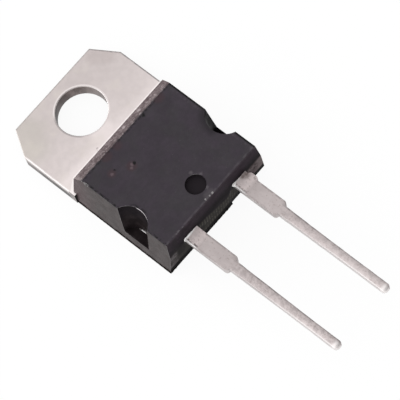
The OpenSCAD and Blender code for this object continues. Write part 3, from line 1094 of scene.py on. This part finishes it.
def finish_piece(mesh, name, materials):
    """Object of a mesh with its materials, smooth but for its sharp edges."""
    for face in mesh.faces:
        face.smooth = True
    data = bpy.data.meshes.new(name)
    mesh.to_mesh(data)
    mesh.free()
    for material in materials:
        data.materials.append(material)
    data.set_sharp_from_angle(angle=CREASE_ANGLE)
    piece = add_object(name, data)
    weighted = piece.modifiers.new("even_shading", "WEIGHTED_NORMAL")
    weighted.keep_sharp = True
    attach(piece, "root")
    return piece


def skin(node, name, width, materials, region, carve):
    """Copy of a node with its open edges rounded and then carved, which stands for the node."""
    mesh = cleaned_mesh(node)
    round_edges(mesh, node, width)
    carve(mesh)
    order_faces(mesh)
    bmesh.ops.recalc_face_normals(mesh, faces=mesh.faces)
    mesh.normal_update()
    for face in mesh.faces:
        face.material_index = region(face.calc_center_median() / MM, face.normal)
    piece = finish_piece(mesh, name, materials)
    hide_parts(node)


def flash_points():
    """Points along the flash, in millimetres, with the way out of the moulding at each."""
    points = []
    for (x0, y0), (x1, y1) in zip(FLASH_PATH, FLASH_PATH[1:]):
        length = math.hypot(x1 - x0, y1 - y0)
        out = Vector(((y1 - y0) / length, -(x1 - x0) / length, 0))
        count = int(length / TRIM_STEP)
        for i in range(count + 1):
            along = i / count
            points.append((Vector((x0 + (x1 - x0) * along, y0 + (y1 - y0) * along, 0)), out))
    return points


def flash_share(place, frequency):
    """Share of its full size that the flash has at a place."""
    level = noise.noise(place * frequency) * 0.5 + 0.5
    return FLASH_LEAST + (1 - FLASH_LEAST) * level


def mould_flash():
    """Ragged strip of flash along the lower left edge and the lower edge of the lead end."""
    mesh = bmesh.new()
    rows = []
    for place, out in flash_points():
        widest = FLASH_OUT_END if out.y < -0.5 else FLASH_OUT
        reach = widest * flash_share(place, FLASH_OUT_FREQUENCY)
        high = FLASH_HIGH * flash_share(place, FLASH_HIGH_FREQUENCY)
        profile = (
            (-FLASH_IN, FLASH_FOOT), (reach, FLASH_FOOT), (reach, FLASH_LIP),
            (reach * FLASH_LEAN, high), (-FLASH_IN, high),
        )
        rows.append([
            mesh.verts.new((place + out * across + Vector((0, 0, up))) * MM)
            for across, up in profile
        ])
    join_rows(mesh, rows)
    bmesh.ops.recalc_face_normals(mesh, faces=mesh.faces)
    piece = finish_piece(mesh, "mould_flash", [FLASH])


def ridge_path(lead_x, end_x):
    """Places round a lead's root, from low on its left side to its top, with the way out at each."""
    side_x = lead_x - RIDGE_SIDE
    middle = Vector((side_x + RIDGE_CORNER, RIDGE_WALL_Y, LEAD_TOP - RIDGE_CORNER))
    path = []
    for i in range(RIDGE_SIDE_STEPS):
        z = RIDGE_LOW_Z + (middle.z - RIDGE_LOW_Z) * i / RIDGE_SIDE_STEPS
        path.append((Vector((side_x, RIDGE_WALL_Y, z)), Vector((-1, 0, 0))))
    for i in range(RIDGE_TURN_STEPS + 1):
        turn = math.radians(90) * i / RIDGE_TURN_STEPS
        out = Vector((-math.cos(turn), 0, math.sin(turn)))
        path.append((middle + out * RIDGE_CORNER, out))
    count = math.ceil((end_x - middle.x) / TRIM_STEP)
    for i in range(1, count + 1):
        x = middle.x + (end_x - middle.x) * i / count
        path.append((Vector((x, RIDGE_WALL_Y, LEAD_TOP)), Vector((0, 0, 1))))
    return path


def ridge_share(i, count):
    """Share of its full size that a ridge has at point i of its path, least at both ends."""
    on_top = count - RIDGE_SIDE_STEPS - RIDGE_TURN_STEPS
    return min(1, (i + 0.3) / RIDGE_START_STEPS, (count - i - 0.7) / on_top)


def plating_ridges():
    """Small sloping ridges of plating between the moulding and the leads."""
    mesh = bmesh.new()
    for lead_x, end_x in RIDGES:
        path = ridge_path(lead_x, end_x)
        rows = []
        for i, (place, out) in enumerate(path):
            size = RIDGE_MEAN + RIDGE_SPREAD * noise.noise(place * RIDGE_FREQUENCY)
            size = ridge_share(i, len(path)) * size
            high = RIDGE_HIGH * size
            forward = RIDGE_FORWARD * size
            bend = (high * RIDGE_BEND[0], forward * RIDGE_BEND[1])
            profile = (
                (-RIDGE_IN, -RIDGE_IN), (high, -RIDGE_IN), (high, 0),
                bend, (0, forward), (-RIDGE_IN, forward),
            )
            rows.append([
                mesh.verts.new((place + out * up + Vector((0, -along, 0))) * MM)
                for up, along in profile
            ])
        join_rows(mesh, rows)
    bmesh.ops.recalc_face_normals(mesh, faces=mesh.faces)
    piece = finish_piece(mesh, "plating_ridges", [RIDGE_TIN])


def dress(nodes, material):
    """Gives CAD nodes a procedural material."""
    for node in nodes:
        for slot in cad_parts[node].material_slots:
            slot.material = material


skin(
    "cathode_leadframe", "tab_and_cathode_lead", TAB_ROUND, [TAB_TIN, LEAD_TIN], tab_region,
    lambda mesh: dip_lead(mesh, -LEAD_X, LEFT_TIP_Y),
)
skin(
    "anode_lead", "anode_lead_skin", TAB_ROUND, [LEAD_TIN], lead_region,
    lambda mesh: dip_lead(mesh, LEAD_X, RIGHT_TIP_Y),
)
skin("epoxy_body", "moulded_body", BODY_ROUND, MOULDING, body_region, chip_lead_end)
mould_flash()
plating_ridges()
dress(["schottky_die"], silicon())
dress(["die_attach_solder"], solder())
dress(["bond_wire_left", "bond_wire_right"], bond_wire())


# Floor, light and camera

FLOOR_HALF = 1.5
FLOOR_GLOW = 0.93
FLOOR_GAP = 0.02 * MM
SKY_MEAN = 0.98
SKY_SLOPE = Vector((-0.5, 0.45, 0))
SOFTBOX_PLACE = Vector((-0.3, 0.72, 0.24))
SOFTBOX_SIZE = (0.7, 0.35)
SOFTBOX_POWER = 1.7


def floor_material():
    """White that glows for the camera and in mirrors, and is clear from below."""
    s = Shader("floor_white")
    path = s.add("LightPath")
    seen = s.math("MAXIMUM", path["Is Camera Ray"], path["Is Glossy Ray"])
    seen = s.math("MAXIMUM", seen, path["Is Transmission Ray"])
    paint = s.add("BsdfDiffuse", {"Color": (1, 1, 1, 1)})
    glow = s.add("Emission", {"Color": (1, 1, 1, 1), "Strength": 1.0})
    both = s.add("MixShader", {"Fac": s.times(seen, FLOOR_GLOW), 1: paint[0], 2: glow[0]})
    from_below = s.add("NewGeometry")["Backfacing"]
    clear = s.add("BsdfTransparent")
    one_sided = s.add("MixShader", {"Fac": from_below, 1: both[0], 2: clear[0]})
    s.put(s.output.inputs["Surface"], one_sided[0])
    return s.material


def studio_floor():
    """White floor just below the part, with a faint shadow."""
    mesh = bpy.data.meshes.new("studio_floor")
    h = FLOOR_HALF
    low = -FLOOR_GAP
    corners = [(-h, -h, low), (h, -h, low), (h, h, low), (-h, h, low)]
    mesh.from_pydata(corners, [], [(0, 1, 2, 3)])
    floor = add_object("studio_floor", mesh)
    mesh.materials.append(floor_material())


def studio_world():
    """White sky, brighter behind the part and to its left."""
    world = bpy.data.worlds.new("studio_world")
    bpy.context.scene.world = world
    world.use_nodes = True
    nodes = world.node_tree.nodes
    links = world.node_tree.links
    direction = nodes.new("ShaderNodeTexCoord")
    slope = nodes.new("ShaderNodeVectorMath")
    slope.operation = "DOT_PRODUCT"
    slope.inputs[1].default_value = SKY_SLOPE
    links.new(direction.outputs["Generated"], slope.inputs[0])
    level = nodes.new("ShaderNodeMath")
    level.operation = "ADD"
    level.inputs[1].default_value = SKY_MEAN
    links.new(slope.outputs["Value"], level.inputs[0])
    links.new(level.outputs[0], nodes["Background"].inputs["Strength"])
    nodes["Background"].inputs["Color"].default_value = (1, 1, 1, 1)


def softbox():
    """Wide soft lamp low behind the part, which lights the bevel and the notches' rims."""
    light = bpy.data.lights.new("softbox", "AREA")
    light.shape = "RECTANGLE"
    light.size, light.size_y = SOFTBOX_SIZE
    light.energy = SOFTBOX_POWER
    lamp = add_object("softbox", light)
    lamp.location = SOFTBOX_PLACE
    lamp.rotation_mode = "QUATERNION"
    lamp.rotation_quaternion = (CAMERA_TARGET - SOFTBOX_PLACE).to_track_quat("-Z", "Y")
    lamp.visible_camera = False


def photo_camera():
    """Camera at the photograph's viewing angle."""
    data = bpy.data.cameras.new("camera")
    data.lens = CAMERA_LENS
    data.clip_start, data.clip_end = CAMERA_CLIP
    camera = add_object("camera", data)
    forward = Vector((
        math.sin(CAMERA_AZIMUTH) * math.cos(CAMERA_ELEVATION),
        math.cos(CAMERA_AZIMUTH) * math.cos(CAMERA_ELEVATION),
        -math.sin(CAMERA_ELEVATION),
    ))
    camera.location = CAMERA_TARGET - forward * CAMERA_DISTANCE
    camera.rotation_mode = "QUATERNION"
    camera.rotation_quaternion = forward.to_track_quat("-Z", "Y")
    camera.rotation_quaternion.rotate(Quaternion(forward, -CAMERA_ROLL))
    bpy.context.scene.camera = camera


studio_floor()
studio_world()
softbox()
photo_camera()
bpy.context.scene.view_settings.view_transform = "Standard"
